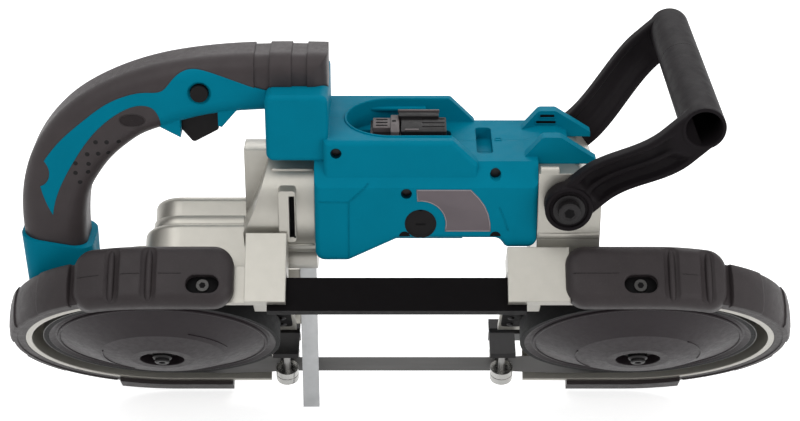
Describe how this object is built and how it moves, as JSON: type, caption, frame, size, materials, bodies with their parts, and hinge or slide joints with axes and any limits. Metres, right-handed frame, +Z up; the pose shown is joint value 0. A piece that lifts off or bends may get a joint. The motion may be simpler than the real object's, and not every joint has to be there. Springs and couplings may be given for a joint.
{
  "type": "portable band saw",
  "caption": "Cordless portable band saw with a looped blade on tilted wheels, a bent rear handle with trigger, a battery bay, bumper pads and a cross grip on arms in front.",
  "frame": {"origin": "centre of the bounding box on the plane the saw stands on", "axes": "+X along the saw towards the front handle, +Y away from the side with the blade guard, +Z up with the main handle upright"},
  "size_m": [0.518, 0.17, 0.2904],
  "materials": {
    "teal_moulding": "fine-textured moulding",
    "handle_rubber": "matte overmoulding",
    "bumper_rubber": "matte moulding",
    "tyre_rubber": "matte",
    "front_grip": "smooth black",
    "cast_aluminium": "painted die casting, satin",
    "dark_casting": "dark coated casting",
    "black_coat": "satin black",
    "blade_steel": "ground",
    "plain_steel": "machined",
    "bearing_steel": "polished",
    "zinc_steel": "zinc plated",
    "dark_screws": "blackened",
    "dark_plastic": "plain black",
    "contact_brass": "plain",
    "armature_iron": "laminated, wound",
    "magnet_iron": "sintered",
    "carbon": "pressed carbon"
  },
  "bodies": {
    "saw_body": {"battery_contacts": "contact_brass", "battery_terminal": "dark_plastic", "blade": "blade_steel", "blade_guard": "black_coat", "brush_caps": "dark_plastic", "bumper_screws": "zinc_steel", "carbon_brushes": "carbon", "countershaft_bearings": "bearing_steel", "cross_shaft_bearings": "bearing_steel", "drive_axle_bearings": "bearing_steel", "front_bracket": "cast_aluminium", "front_bumper": "bumper_rubber", "front_guide_holder": "dark_screws", "front_guide_pins": "plain_steel", "gear_case": "cast_aluminium", "handle_far": "teal_moulding", "handle_grip": "handle_rubber", "handle_near": "teal_moulding", "handle_pivot_bolts": "dark_screws", "handle_pivot_washers": "dark_screws", "housing_far": "teal_moulding", "housing_near": "teal_moulding", "housing_screws": "dark_screws", "lever_pin": "plain_steel", "magnets": "magnet_iron", "main_frame": "cast_aluminium", "motor_bearings": "bearing_steel", "motor_can": "plain_steel", "rear_bumper": "bumper_rubber", "rear_guide_holder": "dark_screws", "rear_guide_pins": "plain_steel", "stop_bolts": "zinc_steel", "switch": "dark_plastic"},
    "drive_wheel": {"drive_wheel": "dark_casting", "drive_tyre": "tyre_rubber", "drive_axle": "plain_steel", "final_gear": "plain_steel", "drive_hub_bolt": "dark_screws"},
    "idler_carriage": {"tension_block": "cast_aluminium", "idler_axle": "plain_steel", "idler_hub_bolt": "dark_screws"},
    "idler_wheel": {"idler_wheel": "dark_casting", "idler_tyre": "tyre_rubber", "idler_bearings": "bearing_steel"},
    "cross_shaft": {"cross_shaft": "plain_steel"},
    "countershaft": {"countershaft": "plain_steel"},
    "armature": {"armature": "armature_iron", "motor_pinion": "plain_steel", "cooling_fan": "dark_plastic"},
    "tension_lever": {"tension_lever": "plain_steel"},
    "stop_plate": {"stop_plate": "zinc_steel"},
    "front_handle": {"front_handle": "front_grip"},
    "trigger": {"trigger": "dark_plastic"},
    "lock_button": {"lock_button": "dark_plastic"},
    "front_near_roller": {"front_near_roller": "bearing_steel"},
    "front_far_roller": {"front_far_roller": "bearing_steel"},
    "front_back_roller": {"front_back_roller": "bearing_steel"},
    "rear_near_roller": {"rear_near_roller": "bearing_steel"},
    "rear_far_roller": {"rear_far_roller": "bearing_steel"},
    "rear_back_roller": {"rear_back_roller": "bearing_steel"}
  },
  "joints": [
    {"name": "drive_wheel_turn", "type": "hinge", "parent": "saw_body", "child": "drive_wheel", "pos_m": [-0.16, 0, 0.084], "axis": [0, 0.7314, 0.682], "continuous": true},
    {"name": "tension_lever_turn", "type": "hinge", "parent": "saw_body", "child": "tension_lever", "pos_m": [0.1305, 0, 0.084], "axis": [0, -0.7314, -0.682], "range_deg": [0, 150]},
    {"name": "idler_carriage_slide", "type": "slide", "parent": "saw_body", "child": "idler_carriage", "axis": [1, 0, 0], "range_m": [-0.006, 0]},
    {"name": "idler_wheel_turn", "type": "hinge", "parent": "idler_carriage", "child": "idler_wheel", "pos_m": [0.16, 0, 0.084], "axis": [0, 0.7314, 0.682], "continuous": true},
    {"name": "cross_shaft_turn", "type": "hinge", "parent": "saw_body", "child": "cross_shaft", "pos_m": [-0.142, -0.03617, 0.12278], "axis": [0, 0.7314, 0.682], "continuous": true},
    {"name": "countershaft_turn", "type": "hinge", "parent": "saw_body", "child": "countershaft", "pos_m": [0, 0.00543, 0.16157], "axis": [1, 0, 0], "continuous": true},
    {"name": "armature_turn", "type": "hinge", "parent": "saw_body", "child": "armature", "pos_m": [0, 0, 0.187], "axis": [1, 0, 0], "continuous": true},
    {"name": "stop_plate_slide", "type": "slide", "parent": "saw_body", "child": "stop_plate", "axis": [0, 0, 1], "range_m": [0, 0.03]},
    {"name": "front_handle_tilt", "type": "hinge", "parent": "saw_body", "child": "front_handle", "pos_m": [0.1055, 0, 0.202], "axis": [0, 1, 0], "range_deg": [-15, 35]},
    {"name": "trigger_press", "type": "slide", "parent": "saw_body", "child": "trigger", "axis": [0, 0, 1], "range_m": [0, 0.006], "stiffness_N_per_m": 800, "springref_m": -0.002},
    {"name": "lock_button_push", "type": "slide", "parent": "saw_body", "child": "lock_button", "axis": [0, 1, 0], "range_m": [-0.003, 0.003], "stiffness_N_per_m": 600},
    {"name": "front_near_roller_turn", "type": "hinge", "parent": "saw_body", "child": "front_near_roller", "pos_m": [0.072, 0.04608, 0.02398], "axis": [0, -0.225, 0.9744], "continuous": true},
    {"name": "front_far_roller_turn", "type": "hinge", "parent": "saw_body", "child": "front_far_roller", "pos_m": [0.072, 0.06236, 0.02774], "axis": [0, -0.225, 0.9744], "continuous": true},
    {"name": "front_back_roller_turn", "type": "hinge", "parent": "saw_body", "child": "front_back_roller", "pos_m": [0.072, 0.05093, 0.04008], "axis": [0, 0.9744, 0.225], "continuous": true},
    {"name": "rear_near_roller_turn", "type": "hinge", "parent": "saw_body", "child": "rear_near_roller", "pos_m": [-0.08, 0.04608, 0.02398], "axis": [0, -0.225, 0.9744], "continuous": true},
    {"name": "rear_far_roller_turn", "type": "hinge", "parent": "saw_body", "child": "rear_far_roller", "pos_m": [-0.08, 0.06236, 0.02774], "axis": [0, -0.225, 0.9744], "continuous": true},
    {"name": "rear_back_roller_turn", "type": "hinge", "parent": "saw_body", "child": "rear_back_roller", "pos_m": [-0.08, 0.05093, 0.04008], "axis": [0, 0.9744, 0.225], "continuous": true}
  ],
  "couplings": [
    {"joint": "idler_wheel_turn", "follows": "drive_wheel_turn", "ratio": 1},
    {"joint": "cross_shaft_turn", "follows": "drive_wheel_turn", "ratio": -3.6667},
    {"joint": "countershaft_turn", "follows": "drive_wheel_turn", "ratio": -8.8},
    {"joint": "armature_turn", "follows": "drive_wheel_turn", "ratio": 54.756},
    {"joint": "front_near_roller_turn", "follows": "drive_wheel_turn", "ratio": 9.9375},
    {"joint": "front_far_roller_turn", "follows": "drive_wheel_turn", "ratio": -9.9375},
    {"joint": "front_back_roller_turn", "follows": "drive_wheel_turn", "ratio": 9.9375},
    {"joint": "rear_near_roller_turn", "follows": "drive_wheel_turn", "ratio": 9.9375},
    {"joint": "rear_far_roller_turn", "follows": "drive_wheel_turn", "ratio": -9.9375},
    {"joint": "rear_back_roller_turn", "follows": "drive_wheel_turn", "ratio": 9.9375},
    {"joint": "tension_lever_turn", "follows": "idler_carriage_slide", "rad_per_m": -436.33}
  ]
}
